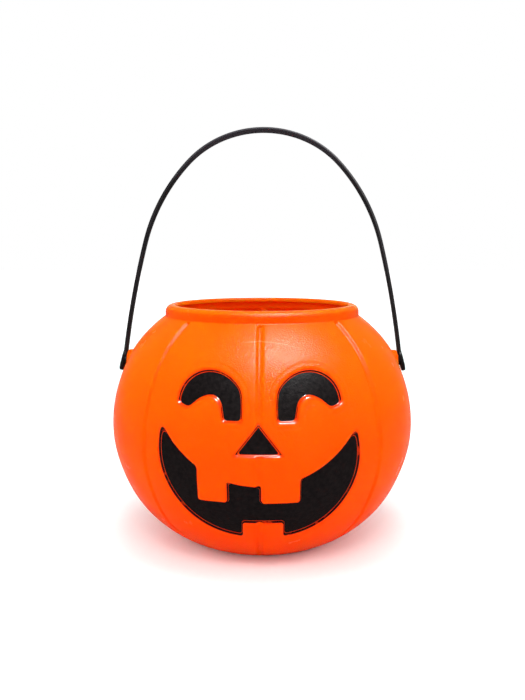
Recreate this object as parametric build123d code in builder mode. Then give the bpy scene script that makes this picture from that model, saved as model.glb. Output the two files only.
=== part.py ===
"""Pumpkin candy pail: a blow moulded lobed body with a painted face and a snap in strap handle.

Millimetres, +Z up. The pail stands on Z = 0 with its axis on Z and its face towards -Y.
"""

import os
from math import acos, asin, cos, degrees, radians, sin, sqrt, tan

from build123d import *

# Body: one arc from the foot up to the widest ring and one from there to the collar
body_radius = 108.0
equator_height = 84.0
shoulder_rise = 76.75
wall = 1.2

# Foot ring and the pushed up middle of the base
foot_radius = 52.0
foot_width = 10.0
push_up_height = 4.0
push_up_slope = 45.0
push_up_round = 2.0
heel_round = 10.0

# Collar with an inward lip round the mouth
collar_radius = 70.0
collar_height = 8.0
collar_round = 3.4
collar_root_round = 1.0
mouth_radius = 62.0
least_round = 0.4

# Grooves between the lobes, deeper towards the collar
lobe_count = 8
groove_round = 2.8
groove_depth = 1.1
groove_tightening = 3.0
groove_collar_gap = 1.1
groove_foot_inset = 3.3
groove_end_cover = 2.5

# Face: outlines seen from the front, across the middle and up from the widest ring
recess_depth = 2.0
paint_film = 0.2
paint_bed = 0.05
paint_margin = 0.5

eye_spacing = 59.4
eye_rise = 30.2
eye_radius = 20.0
eye_tip_angle = 5.0
eye_tip_width = 7.2
eye_tip_slope = 22.5
eye_leg_inset = 1.3
eye_leg_width = 10.0
eye_leg_drop = 7.6
eye_inner_rise = 7.4
eye_corner_round = 1.4
eye_shoulder_round = 6.0

nose_base_rise = 2.4
nose_width = 27.0
nose_height = 18.0
nose_corner_round = 1.2

lip_centre_rise = 52.3
lip_radius = 71.3
left_jaw_centre = (-5.0, 1.9)
left_jaw_radius = 58.0
right_jaw_centre = (7.6, -1.9)
right_jaw_radius = 54.5
upper_tooth_drop = 29.5
left_tooth_span = (-39.0, -19.2)
right_tooth_span = (0.8, 25.2)
lower_tooth_drop = 42.0
lower_tooth_span = (-11.3, 15.7)
mouth_corner_round = 1.2

# Side bosses that carry the handle
pivot_rise = 43.5
boss_radius = 8.0
boss_round = 1.0
peg_radius = 2.4
peg_clearance = 0.2
seat_margin = 1.2

# Strap handle: crown arc, shoulder arcs and legs, leaning back from upright
handle_lean = 20.0
handle_rise = 184.0
crown_half_angle = 50.0
leg_inset = 12.65
shoulder_radius = 145.0
shoulder_angle = 29.0
strap_width = 7.0
strap_thickness = 1.6
strap_edge_round = 0.4

# End tabs of the handle, each with a hub and a barbed peg
tab_standoff = 4.2
tab_length = 14.8
tab_width = 8.4
tab_tilt = 12.0
tab_clearance = 0.35
hub_radius = 3.2
hub_clearance = 0.3
head_radius = 3.0
head_length = 3.0
head_taper = 20.0
head_clearance = 0.3

# Each arc stands upright at the widest ring, which sets its centre
upper_centre = (body_radius**2 - collar_radius**2 - shoulder_rise**2) / 2 / (body_radius - collar_radius)
lower_centre = (body_radius**2 - foot_radius**2 - equator_height**2) / 2 / (body_radius - foot_radius)
upper_arc_radius = body_radius - upper_centre
lower_arc_radius = body_radius - lower_centre
collar_foot = equator_height + shoulder_rise
rim_height = collar_foot + collar_height
push_up_run = push_up_height / tan(radians(push_up_slope))
push_up_radius = foot_radius - foot_width - push_up_run
pivot_height = equator_height + pivot_rise
pivot_body_radius = upper_centre + sqrt(upper_arc_radius**2 - pivot_rise**2)

# The tilted end tabs set how far out the boss faces and the hubs stand
tab_middle = pivot_body_radius + tab_standoff
tab_inner = tab_middle - strap_thickness / 2 / cos(radians(tab_tilt))
boss_face = tab_inner - boss_radius * tan(radians(tab_tilt)) - tab_clearance
boss_back = boss_face - wall
hub_face = boss_face + hub_clearance
head_base = boss_back - head_clearance
front_reach = body_radius + groove_round
face_plane = Plane(origin=(0, 0, equator_height), x_dir=(1, 0, 0), z_dir=(0, -1, 0))

# The crown takes up what the shoulders and legs leave of the span between the tabs
crown_end = radians(crown_half_angle)
shoulder_end = radians(crown_half_angle + shoulder_angle)
shoulder_run = shoulder_radius * (sin(shoulder_end) - sin(crown_end))
crown_radius = (tab_middle - leg_inset - shoulder_run) / sin(crown_end)


def body_form(inset):
    """Solid of revolution that lies inside the outer surface by the inset."""
    upper = upper_arc_radius - inset
    lower = lower_arc_radius - inset
    collar = collar_radius - inset
    mitre = inset * tan(radians(push_up_slope / 2))
    push_up = (push_up_radius + mitre, push_up_height + inset)
    foot = (push_up[0] + push_up_run, inset)
    heel_angle = degrees(asin((equator_height - inset) / lower))
    heel = (lower_centre + lower * cos(radians(heel_angle)), inset)
    root_height = sqrt(upper**2 - (collar - upper_centre) ** 2)
    root = (collar, equator_height + root_height)
    top = (collar, rim_height - inset)
    with BuildPart() as form:
        with BuildSketch(Plane.XZ) as section:
            with BuildLine():
                Polyline((0, push_up[1]), push_up, foot, heel)
                CenterArc((lower_centre, equator_height), lower, -heel_angle, heel_angle)
                CenterArc((upper_centre, equator_height), upper, 0, degrees(asin(root_height / upper)))
                Polyline(root, top, (0, top[1]), (0, push_up[1]))
            make_face()
            fillet(section.vertices().sort_by_distance(heel)[0], max(heel_round - inset, least_round))
            fillet(section.vertices().sort_by_distance(root)[0], collar_root_round + inset)
            fillet(section.vertices().sort_by_distance(top)[0], max(collar_round - inset, least_round))
            fillet(section.vertices().sort_by_distance(push_up)[0], push_up_round)
            fillet(section.vertices().sort_by_distance(foot)[0], push_up_round)
        revolve(axis=Axis.Z)
    return form.part


def groove_form(radius, cover):
    """Round bar along one lobe boundary on the +X side, from the foot to the collar, longer by the cover."""
    bar_middle = body_radius + groove_round - groove_depth
    top_centre = upper_centre + groove_tightening
    top_reach = collar_radius + groove_collar_gap - top_centre
    foot_reach = foot_radius - groove_foot_inset - lower_centre
    top_angle = degrees(acos(top_reach / (bar_middle - top_centre)))
    foot_angle = degrees(acos(foot_reach / (bar_middle - lower_centre)))
    with BuildPart() as bar:
        with BuildSketch(Plane.XY.offset(equator_height)) as bar_section:
            with Locations((bar_middle, 0)):
                Circle(radius)
        upward = Axis((top_centre, 0, equator_height), (0, -1, 0))
        downward = Axis((lower_centre, 0, equator_height), (0, 1, 0))
        revolve(bar_section.sketch, axis=upward, revolution_arc=top_angle + cover)
        revolve(bar_section.sketch, axis=downward, revolution_arc=foot_angle + cover)
    return bar.part


# Right eye: an arch with a long leg beside the nose and a short slanted end outside
eye_x = eye_spacing / 2
leg_x = eye_x - eye_radius + eye_leg_inset
leg_foot = eye_rise - eye_leg_drop
arch_start = (leg_x, eye_rise + sqrt(eye_radius**2 - (eye_x - leg_x) ** 2))
arch_top = (eye_x, eye_rise + eye_radius)
tip_angle = radians(eye_tip_angle)
tip = (eye_x + eye_radius * cos(tip_angle), eye_rise + eye_radius * sin(tip_angle))
tip_foot = (tip[0] - eye_tip_width, tip[1] - eye_tip_width * tan(radians(eye_tip_slope)))
inner_start = (leg_x + eye_leg_width, eye_rise)
inner_top = ((tip_foot[0] + inner_start[0]) / 2, eye_rise + eye_inner_rise)

with BuildSketch(face_plane) as right_eye:
    with BuildLine():
        Line((leg_x, leg_foot), arch_start)
        ThreePointArc(arch_start, arch_top, tip)
        Line(tip, tip_foot)
        ThreePointArc(tip_foot, inner_top, inner_start)
        Polyline(inner_start, (leg_x + eye_leg_width, leg_foot), (leg_x, leg_foot))
    make_face()
    fillet(right_eye.vertices().sort_by_distance(arch_start)[0], eye_shoulder_round)
    fillet(right_eye.vertices().sort_by_distance(tip)[0], eye_corner_round)
    fillet(right_eye.vertices().sort_by_distance(tip_foot)[0], eye_corner_round)
    fillet(right_eye.vertices().group_by(Axis.Y)[0], eye_corner_round)

with BuildSketch(face_plane) as left_eye:
    mirror(right_eye.sketch_local, about=Plane.YZ)

with BuildSketch(face_plane) as nose:
    with BuildLine():
        Polyline(
            (-nose_width / 2, nose_base_rise),
            (nose_width / 2, nose_base_rise),
            (0, nose_base_rise + nose_height),
            close=True,
        )
    make_face()
    fillet(nose.vertices(), nose_corner_round)

# Mouth: a crescent between the upper lip and two jaw arcs, with three square teeth left standing
with BuildSketch(face_plane) as right_jaw:
    with Locations(right_jaw_centre):
        Circle(right_jaw_radius)
    with Locations((0, right_jaw_centre[1])):
        Rectangle(body_radius, 2 * body_radius, align=(Align.MAX, Align.CENTER), mode=Mode.SUBTRACT)

with BuildSketch(face_plane) as mouth:
    with Locations(left_jaw_centre):
        Circle(left_jaw_radius)
    with Locations((0, left_jaw_centre[1])):
        Rectangle(body_radius, 2 * body_radius, align=(Align.MIN, Align.CENTER), mode=Mode.SUBTRACT)
    add(right_jaw.sketch_local)
    with Locations((0, lip_centre_rise)):
        Circle(lip_radius, mode=Mode.SUBTRACT)
    for tooth_start, tooth_end in (left_tooth_span, right_tooth_span):
        with Locations((tooth_start, -upper_tooth_drop)):
            Rectangle(
                tooth_end - tooth_start,
                lip_centre_rise + upper_tooth_drop,
                align=(Align.MIN, Align.MIN),
                mode=Mode.SUBTRACT,
            )
    with Locations((lower_tooth_span[0], -lower_tooth_drop)):
        Rectangle(
            lower_tooth_span[1] - lower_tooth_span[0],
            equator_height,
            align=(Align.MIN, Align.MAX),
            mode=Mode.SUBTRACT,
        )
    fillet(mouth.vertices(), mouth_corner_round)

face_outlines = {
    "left_eye_paint": left_eye.sketch_local,
    "right_eye_paint": right_eye.sketch_local,
    "nose_paint": nose.sketch_local,
    "mouth_paint": mouth.sketch_local,
}


def face_form(outlines, growth, depth):
    """Outlines grown on all sides and driven back from the front to the given depth."""
    with BuildPart() as form:
        for outline in outlines:
            with BuildSketch(face_plane):
                add(outline)
                if growth:
                    offset(amount=growth)
            extrude(amount=front_reach)
        add(body_form(depth), mode=Mode.SUBTRACT)
    return form.part


def side_plane(side, distance):
    """Plane across the hinge axis, facing outwards on the +X side (1) or the -X side (-1)."""
    return Plane(origin=(side * distance, 0, pivot_height), x_dir=(0, side, 0), z_dir=(side, 0, 0))


# Space inside the pail: it follows the grooves, the face and the bosses at one wall's distance
with BuildPart() as cavity:
    add(body_form(wall))
    with PolarLocations(0, lobe_count):
        add(groove_form(groove_round + wall, groove_end_cover), mode=Mode.SUBTRACT)
    add(face_form(face_outlines.values(), wall, recess_depth + wall), mode=Mode.SUBTRACT)
    for side in (1, -1):
        with BuildSketch(side_plane(side, boss_back)):
            Circle(boss_radius)
        extrude(amount=body_radius - boss_back, mode=Mode.SUBTRACT)
        with BuildSketch(side_plane(side, boss_back)):
            Circle(boss_radius - wall)
        extrude(amount=mouth_radius - boss_back)
    with BuildSketch(Plane.XY.offset(rim_height)):
        Circle(mouth_radius)
    extrude(amount=-2 * wall)

# Side boss: a round stub with a rounded rim, standing out of the shoulder
with BuildPart() as boss:
    with BuildSketch(Plane.XZ) as boss_section:
        with Locations((boss_face, pivot_height)):
            Rectangle(boss_face - mouth_radius, boss_radius, align=(Align.MAX, Align.MIN))
        fillet(boss_section.vertices().sort_by_distance((boss_face, rim_height))[0], boss_round)
    revolve(axis=Axis((0, 0, pivot_height), (1, 0, 0)))

with BuildPart() as pail_body:
    add(body_form(0))
    with PolarLocations(0, lobe_count):
        add(groove_form(groove_round, 0), mode=Mode.SUBTRACT)
    add(boss.part)
    mirror(boss.part, about=Plane.YZ)
    add(face_form(face_outlines.values(), 0, recess_depth), mode=Mode.SUBTRACT)
    add(cavity.part, mode=Mode.SUBTRACT)
    for side in (1, -1):
        with BuildSketch(side_plane(side, boss_face)):
            Circle(hub_radius + seat_margin)
        extrude(amount=boss_radius, mode=Mode.SUBTRACT)
        with BuildSketch(side_plane(side, boss_face)):
            Circle(peg_radius + peg_clearance)
        extrude(amount=-2 * wall, mode=Mode.SUBTRACT)

# End of the handle on the +X side: a tilted tab, a hub that runs on the boss and a barbed peg
lean = radians(handle_lean)
tilt = radians(tab_tilt)
handle_up = Vector(0, sin(lean), cos(lean))
handle_front = Vector(0, -cos(lean), sin(lean))
tab_outward = Vector(cos(tilt), 0, 0) + handle_up * sin(tilt)
tab_plane = Plane(origin=(tab_middle, 0, pivot_height), x_dir=handle_front, z_dir=tab_outward)

with BuildPart() as handle_end:
    with BuildSketch(tab_plane):
        SlotOverall(tab_length, tab_width, rotation=90)
    extrude(amount=strap_thickness / 2, both=True)
    with BuildSketch(side_plane(1, hub_face)):
        Circle(hub_radius)
    extrude(amount=tab_middle - hub_face)
    with BuildSketch(side_plane(1, head_base)):
        Circle(peg_radius)
    extrude(amount=hub_face - head_base)
    with BuildSketch(side_plane(1, head_base)):
        Circle(head_radius)
    extrude(amount=-head_length, taper=head_taper)

# Strap: the arch drawn in the leaning plane through the hinge axis
tab_top = (tab_middle - tab_length / 2 * sin(tilt), tab_length / 2 * cos(tilt))
handle_plane = Plane(origin=(0, 0, pivot_height), x_dir=(1, 0, 0), z_dir=handle_front)

with BuildPart() as handle:
    with BuildLine(handle_plane) as arch:
        crown = JernArc((0, handle_rise), (1, 0), crown_radius, -crown_half_angle)
        shoulder = JernArc(crown @ 1, crown % 1, shoulder_radius, -shoulder_angle)
        TangentArc(shoulder @ 1, tab_top, tangent=shoulder % 1)
        Line(tab_top, (tab_middle, 0))
        mirror(about=Plane.YZ)
    strap_path = arch.wire()
    with BuildSketch(Plane(origin=strap_path @ 0, x_dir=handle_front, z_dir=strap_path % 0)):
        RectangleRounded(strap_width, strap_thickness, strap_edge_round)
    sweep(path=strap_path)
    add(handle_end.part)
    mirror(handle_end.part, about=Plane.YZ)

os.makedirs("parts", exist_ok=True)

pail_body.part.label = "pail_body"
export_step(pail_body.part, "parts/pail_body.step")

handle.part.label = "handle"
export_step(handle.part, "parts/handle.step")

# Paint: thin films on the floors of the face recesses, a little inside their walls
for paint_name, outline in face_outlines.items():
    with BuildPart() as paint:
        add(face_form([outline], -paint_margin, recess_depth - paint_bed))
        add(body_form(recess_depth - paint_bed - paint_film), mode=Mode.INTERSECT)
    paint.part.label = paint_name
    export_step(paint.part, f"parts/{paint_name}.step")
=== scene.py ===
from math import acos, asin, atan2, cos, hypot, pi, radians, sin, sqrt, tan

import bmesh
import bpy
import numpy as np
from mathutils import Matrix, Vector
from mathutils.geometry import delaunay_2d_cdt


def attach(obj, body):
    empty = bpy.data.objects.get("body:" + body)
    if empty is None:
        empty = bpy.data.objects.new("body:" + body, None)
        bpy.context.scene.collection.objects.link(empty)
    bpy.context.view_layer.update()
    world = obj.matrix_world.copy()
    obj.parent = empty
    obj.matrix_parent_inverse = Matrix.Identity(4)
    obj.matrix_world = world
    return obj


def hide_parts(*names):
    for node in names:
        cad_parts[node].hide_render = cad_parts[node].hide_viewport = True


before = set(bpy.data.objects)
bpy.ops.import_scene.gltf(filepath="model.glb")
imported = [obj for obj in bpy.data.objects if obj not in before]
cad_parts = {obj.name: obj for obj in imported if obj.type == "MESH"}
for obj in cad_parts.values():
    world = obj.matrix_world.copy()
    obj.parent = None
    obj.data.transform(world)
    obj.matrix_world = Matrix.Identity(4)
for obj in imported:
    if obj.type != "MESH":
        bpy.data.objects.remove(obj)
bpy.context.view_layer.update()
mm = 0.001
print("frame loaded:", ", ".join(sorted(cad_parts)))


# Helpers for meshes
weldReach = 0.004 * mm
sliverReach = 0.002 * mm


def smoothStep(t):
    t = np.clip(t, 0, 1)
    return t * t * (3 - 2 * t)


def softMax(a, b, k):
    # the larger of two distances, with the corner between them rounded over k
    return np.maximum(a, b) + np.maximum(k - np.abs(a - b), 0) ** 2 / (4 * k)


def addObject(name, data):
    made = bpy.data.objects.new(name, data)
    bpy.context.scene.collection.objects.link(made)
    return made


def makeObject(name, points, faces, sharpAngle):
    mesh = bpy.data.meshes.new(name)
    mesh.from_pydata([tuple(p) for p in points], [], faces)
    bm = bmesh.new()
    bm.from_mesh(mesh)
    bmesh.ops.remove_doubles(bm, verts=bm.verts, dist=weldReach)
    bmesh.ops.dissolve_degenerate(bm, edges=bm.edges, dist=sliverReach)
    bmesh.ops.delete(bm, geom=[v for v in bm.verts if not v.link_faces], context="VERTS")
    bmesh.ops.recalc_face_normals(bm, faces=bm.faces)
    for polygon in bm.faces:
        polygon.smooth = True
    for edge in bm.edges:
        if len(edge.link_faces) == 2:
            edge.smooth = edge.calc_face_angle() < radians(sharpAngle)
    openEdges = sum(len(edge.link_faces) != 2 for edge in bm.edges)
    bm.to_mesh(mesh)
    bm.free()
    print(f"{name}: {len(mesh.polygons)} faces, {openEdges} open edges")
    return addObject(name, mesh)


# Pail: two arcs that meet at the widest ring, a rolled collar and a pushed up base
pail = {
    "radius": 108 * mm,
    "widestHeight": 84 * mm,
    "upperArc": 96.5 * mm,
    "lowerArc": 91 * mm,
    "wall": 1.2 * mm,
    "collarRadius": 69.4 * mm,
    "collarHeight": 7.8 * mm,
    "collarRound": 4.8 * mm,
    "collarRoot": 1.2 * mm,
    "mouthRadius": 62 * mm,
    "lipRound": 1.4 * mm,
    "lipDrop": 3.2 * mm,
    "lipEnd": 0.45 * mm,
    "heelRound": 10 * mm,
    "pushUpRadius": 38 * mm,
    "pushUpHeight": 4 * mm,
    "pushUpRound": 2 * mm,
    "pushUpRings": (0.8, 0.6, 0.4, 0.2, 0.05),
    # where the arcs swell or draw in: how much, at what height, how far up and down
    "fuller": (0.6 * mm, 140 * mm, 26 * mm),
    "slimmer": (0.5 * mm, 52 * mm, 26 * mm),
    # mesh: steps, and where the body's rows stop short of the heel and the collar
    "meshStep": 2.2 * mm,
    "leastStep": 0.12 * mm,
    "heelStop": 2.2 * mm,
    "rootStop": 1.4 * mm,
    "innerRows": 62,
    "sharpAngle": 50,
}

grooves = {
    "places": (0, 45, 90, 135, 180, 225, 270, 317),
    "halfWidth": 2.9 * mm,
    "depth": 1.3 * mm,
    "collarDepth": 2.0 * mm,
    "footFade": 12 * mm,
    "flat": 0.12,
    # mesh: columns beside each groove in millimetres, and how many the face's patch takes
    "columns": (0, 0.55, 1.1, 1.6, 2.1, 2.6, 3.1, 3.8, 4.8),
    "frontColumns": 7,
}

# Face: outlines seen from the front, in millimetres where nothing else is said
face = {
    "depth": 2.0 * mm,
    "wallIn": {"eye": 0.45, "nose": 0.6, "mouth": 0.25},
    "grow": {"eye": 0.2, "nose": 0.4},
    "shoulderRound": 2.5,
    "shoulderDrop": 1.65,
    "eyeDish": (5.4, 0.25),
    "eyeDishEdge": 1.3,
    "eyeBead": 0.12,
    "eyeBeadHalf": 0.42,
    "cornerSoft": 2.2,
    "hollowSoft": (7.48, 4.4),
    "tipSoft": 5.0,
    "toothRound": 2.4,
    "grooveStop": 0.8,
    "innerReach": (3.0, 4.0),
    "eye": (29.9, 114.2),
    "eyeRadius": 20.4,
    "eyeLeg": (11.0, 21.9),
    "eyeLegLean": 9.0,
    "eyeLegFoot": 106.4,
    "eyeInnerTop": 121.5,
    "eyeBrow": (39.6, 117.2),
    "eyeBrowSlope": 40.0,
    "eyeTip": (49.6, 114.9),
    "eyeTipSlope": 20.0,
    "noseMiddle": -0.5,
    "noseBase": 86.3,
    "noseHalf": 13.4,
    "noseTop": 103.5,
    "lipCentre": 136.3,
    "lipRadius": 71.3,
    "leftJaw": (-5.0, 85.9, 58.0),
    "rightJaw": (7.6, 82.1, 54.5),
    "upperTeeth": ((-39.2, -19.4), (0.4, 25.7)),
    "upperToothFoot": 53.3,
    "lowerTooth": (-11.3, 15.6),
    "lowerToothTop": 39.7,
    # mesh: the patch with the face, its grid and the rings along the outlines
    "patchAngle": radians(41),
    "patchHeights": (22 * mm, 142 * mm),
    "coarse": 1.6 * mm,
    "grooveClear": 3.9 * mm,
    "gridClear": (2.4, 0.9),
    "step": 0.45 * mm,
    "outerStep": 1.4,
    "outerFrom": 1.2,
    "floorRings": (-1.6, -1.1),
    "shoulderRings": (0.0, 0.22, 0.48, 0.78, 1.15),
    "dishRings": (2.8, 3.6),
    "dishEdgeRings": (-1.3, -0.85, -0.42, 0, 0.42),
}

boss = {
    "height": 127.5 * mm,
    "radius": 8.0 * mm,
    "round": 1.2 * mm,
    "dome": 1.3 * mm,
    "lowLift": 1.3 * mm,
    "rootRound": 1.0 * mm,
    "seatRadius": 4.4 * mm,
    "holeRadius": 2.6 * mm,
    "lowFrom": (0.5, 0.35),
    "patchHalf": 14 * mm,
    # mesh: rings about the hinge axis over the face, its round and the root
    "faceRings": (3.4 * mm, 5.6 * mm),
    "seatEdge": 0.15 * mm,
    "roundRings": (1, 0.62, 0.3, 0.08, 0.0),
    "rootRings": (0.05, 0.35, 0.8, 1.6, 2.8),
    "ringPlaces": 72,
}
farAway = 99.0


def bodySection(v):
    # radius, height and outward direction, v along the section from the widest ring
    arc = np.where(v >= 0, pail["upperArc"], pail["lowerArc"])
    turn = v / arc
    r = pail["radius"] - arc + arc * np.cos(turn)
    z = pail["widestHeight"] + arc * np.sin(turn)
    return r, z, np.cos(turn), np.sin(turn)


def sectionAt(z):
    rise = np.asarray(z, float) - pail["widestHeight"]
    arc = np.where(rise >= 0, pail["upperArc"], pail["lowerArc"])
    return arc * np.arcsin(np.clip(rise / arc, -1, 1))


heelPlace = float(sectionAt(0.0))
rootHeight = sqrt(
    pail["upperArc"] ** 2 - (pail["collarRadius"] - pail["radius"] + pail["upperArc"]) ** 2
)
collarFoot = pail["widestHeight"] + rootHeight
rimHeight = collarFoot + pail["collarHeight"]
rootPlace = float(sectionAt(collarFoot))


def grooveShape(u, v):
    # how far across the nearest groove, from 0 at its middle to 1 at its edge, and its full depth
    r, z, nr, nz = bodySection(v)
    turns = [np.abs((u - radians(a) + pi) % (2 * pi) - pi) for a in grooves["places"]]
    across = np.min(turns, axis=0) * r / grooves["halfWidth"]
    deep = grooves["depth"] + (grooves["collarDepth"] - grooves["depth"]) * smoothStep(v / rootPlace)
    return across, deep * smoothStep((v - heelPlace) / grooves["footFade"])


def grooveDepth(u, v):
    across, deep = grooveShape(u, v)
    return deep * (1 - smoothStep((across - grooves["flat"]) / (1 - grooves["flat"])))


def boxDistance(x, z, low, high, soft):
    # box with rounded corners
    dx = np.maximum(low[0] - x, x - high[0]) + soft
    dz = np.maximum(low[1] - z, z - high[1]) + soft
    return np.hypot(np.maximum(dx, 0), np.maximum(dz, 0)) + np.minimum(np.maximum(dx, dz), 0) - soft


def eyeDistance(x, z):
    # right eye; x is mirrored for the left one
    k = face["cornerSoft"]
    cx, cz = face["eye"]
    d = np.hypot(x - cx, z - cz) - face["eyeRadius"]
    d = softMax(d, face["eyeLeg"][0] - x, k)
    d = softMax(d, face["eyeLegFoot"] - z, k)
    # the hollow under the arch: the leg's leaning side, a top and a sloping brow
    lean = radians(face["eyeLegLean"])
    side = (face["eyeLeg"][1] - x) * cos(lean) + (z - face["eyeLegFoot"]) * sin(lean)
    slope = radians(face["eyeBrowSlope"])
    brow = (x - face["eyeBrow"][0]) * sin(slope) + (z - face["eyeBrow"][1]) * cos(slope)
    topSoft, browSoft = face["hollowSoft"]
    hollow = softMax(softMax(side, z - face["eyeInnerTop"], topSoft), brow, browSoft)
    d = softMax(d, -hollow, k)
    slope = radians(face["eyeTipSlope"])
    tip = (face["eyeTip"][1] - z) * cos(slope) + (x - face["eyeTip"][0]) * sin(slope)
    tip = np.minimum(tip, x - face["eyeLeg"][1])
    return softMax(d, tip, k) - face["grow"]["eye"]


def noseDistance(x, z):
    k = face["cornerSoft"]
    rise = face["noseTop"] - face["noseBase"]
    run = hypot(rise, face["noseHalf"])
    side = (np.abs(x - face["noseMiddle"]) * rise + (z - face["noseTop"]) * face["noseHalf"]) / run
    return softMax(side, face["noseBase"] - z, k) - face["grow"]["nose"]


def mouthDistance(x, z):
    k = face["cornerSoft"]
    lx, lz, lr = face["leftJaw"]
    rx, rz, rr = face["rightJaw"]
    left = np.hypot(x - lx, z - lz) - lr
    right = np.hypot(x - rx, z - rz) - rr
    d = np.where(x < 0, left, right)
    d = softMax(d, face["lipRadius"] - np.hypot(x, z - face["lipCentre"]), face["tipSoft"])
    teeth = [(span, face["upperToothFoot"], face["lipCentre"]) for span in face["upperTeeth"]]
    teeth += [(face["lowerTooth"], 0, face["lowerToothTop"])]
    for (start, end), foot, top in teeth:
        tooth = boxDistance(x, z, (start, foot), (end, top), face["toothRound"])
        d = softMax(d, -tooth, k)
    return d


faceParts = {
    "left_eye_paint": lambda x, z: eyeDistance(-x, z),
    "right_eye_paint": eyeDistance,
    "nose_paint": noseDistance,
    "mouth_paint": mouthDistance,
}
# a place on each outline to start following it from
outlineStarts = {
    "left_eye_paint": (-30, 134.2),
    "right_eye_paint": (30, 134.2),
    "nose_paint": (0, 86.4),
    "mouth_paint": (9, 42.0),
}


def partDistance(names, u, v):
    # millimetres to the nearest of these outlines, negative inside; far away behind
    r, z, nr, nz = bodySection(v)
    x = r * np.sin(u) / mm
    distance = np.min([faceParts[name](x, z / mm) for name in names], axis=0)
    return np.where(np.cos(u) > 0, distance, farAway)


def turned(flat):
    # azimuths and section places of flat places
    return flat[:, 0] / pail["radius"], flat[:, 1]


def faceDistance(u, v):
    return partDistance(faceParts, u, v)


shoulderWidth = sqrt(
    face["shoulderRound"] ** 2 - (face["shoulderRound"] - face["shoulderDrop"]) ** 2
)


def wallOf(name):
    return next(w for kind, w in face["wallIn"].items() if kind in name)


def sunkBy(distance, wallIn):
    # a rounded shoulder outside the outline, then the wall down to the floor
    over = np.clip(shoulderWidth - distance, 0, shoulderWidth)
    shoulder = face["shoulderRound"] - np.sqrt(face["shoulderRound"] ** 2 - over ** 2)
    wall = smoothStep(-distance / wallIn)
    return shoulder * mm + (face["depth"] - face["shoulderDrop"] * mm) * wall


def recessDepth(u, v):
    eyes, nose, mouth = (partDistance([n for n in faceParts if kind in n], u, v) for kind in face["wallIn"])
    width, sunk = face["eyeDish"]
    dish = sunk * smoothStep((width - eyes) / face["eyeDishEdge"])
    bead = face["eyeBead"] * np.clip(1 - np.abs(eyes - width) / face["eyeBeadHalf"], 0, 1)
    depth = sunkBy(eyes, face["wallIn"]["eye"]) + (dish - bead) * mm
    depth = np.maximum(depth, sunkBy(nose, face["wallIn"]["nose"]))
    return np.maximum(depth, sunkBy(mouth, face["wallIn"]["mouth"]))


def placeOnBody(u, v, depth):
    r, z, nr, nz = bodySection(v)
    for sign, (swell, middle, reach) in ((-1, pail["fuller"]), (1, pail["slimmer"])):
        depth = depth + sign * swell * smoothStep(1 - np.abs(z - middle) / reach)
    r = r - depth * nr
    z = z - depth * nz
    return np.stack([r * np.sin(u), -r * np.cos(u), z], -1)


def bossPush(points, reachOut):
    # lifts points round the hinge axis out to the stub's face, domed above and lifted at its low edge
    side = np.sign(points[..., 0])
    across = np.hypot(points[..., 1], points[..., 2] - boss["height"])
    drop = np.clip((across - boss["radius"] + boss["round"]) / boss["round"], 0, 1)
    start, run = boss["lowFrom"]
    low = smoothStep(((boss["height"] - points[..., 2]) / np.maximum(across, 1e-6) - start) / run)
    stub = reachOut - boss["round"] * (1 - np.sqrt(1 - drop * drop)) + boss["lowLift"] * low
    stub = stub - boss["dome"] * (1 - low) * (across / boss["radius"]) ** 2
    stub = np.where(across > boss["radius"], -1.0, stub)
    reach = np.abs(points[..., 0])
    pushed = np.where(across <= boss["seatRadius"], reachOut, np.maximum(reach, stub))
    points[..., 0] = np.where(across <= boss["radius"], side * pushed, points[..., 0])
    return points


def outerSurface(u, v):
    inFace = smoothStep((face["grooveStop"] - faceDistance(u, v)) / face["grooveStop"])
    depth = recessDepth(u, v) + grooveDepth(u, v) * (1 - inFace)
    return placeOnBody(u, v, depth)


def innerSurface(u, v):
    # the inside follows the grooves and the face, rounded off by the wall
    across, deep = grooveShape(u, v)
    groove = deep * (1 - smoothStep(across / (1 + pail["wall"] / grooves["halfWidth"])))
    start, run = face["innerReach"]
    recess = face["depth"] * smoothStep((start - faceDistance(u, v)) / run)
    return placeOnBody(u, v, pail["wall"] + np.maximum(groove, recess))


def spreadAngles():
    # columns round the pail, closer together beside each groove
    step = pail["meshStep"] / pail["radius"]
    beside = np.array(grooves["columns"]) * mm / pail["radius"]
    angles = []
    middles = np.radians(grooves["places"] + (grooves["places"][0] + 360,))
    for middle, after in zip(middles, middles[1:]):
        angles += [middle + s * b for b in beside for s in (1, -1)]
        gap = after - middle - 2 * beside[-1]
        count = max(2, round(gap / step))
        angles += [middle + beside[-1] + gap * i / count for i in range(1, count)]
    patch = face["patchAngle"]
    half = boss["patchHalf"] / pail["radius"]
    quarter = pi / 2
    borders = [patch, -patch, quarter - half, quarter + half, -quarter - half, half - quarter]
    angles += borders
    angles = np.sort(np.unique(np.round((np.array(angles) + pi) % (2 * pi) - pi, 9)))
    keep = np.append(True, np.diff(angles) > pail["leastStep"] / pail["radius"])
    for wanted in borders:
        keep[np.argmin(np.abs(angles - wanted))] = True
    return angles[keep]


def spreadRows():
    # rows up the body between the heel and the collar, with the patch borders among them
    low, high = (float(sectionAt(z)) for z in face["patchHeights"])
    sideLow = float(sectionAt(boss["height"])) - boss["patchHalf"]
    sideHigh = float(sectionAt(boss["height"])) + boss["patchHalf"]
    ends = [heelPlace + pail["heelStop"], rootPlace - pail["rootStop"]]
    stops = sorted(ends + [low, sideLow, sideHigh, high])
    rows = [stops[0]]
    for a, b in zip(stops, stops[1:]):
        count = max(1, round((b - a) / pail["meshStep"]))
        rows += [a + (b - a) * (i + 1) / count for i in range(count)]
    return np.array(rows), (low, high), (sideLow, sideHigh)


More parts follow.
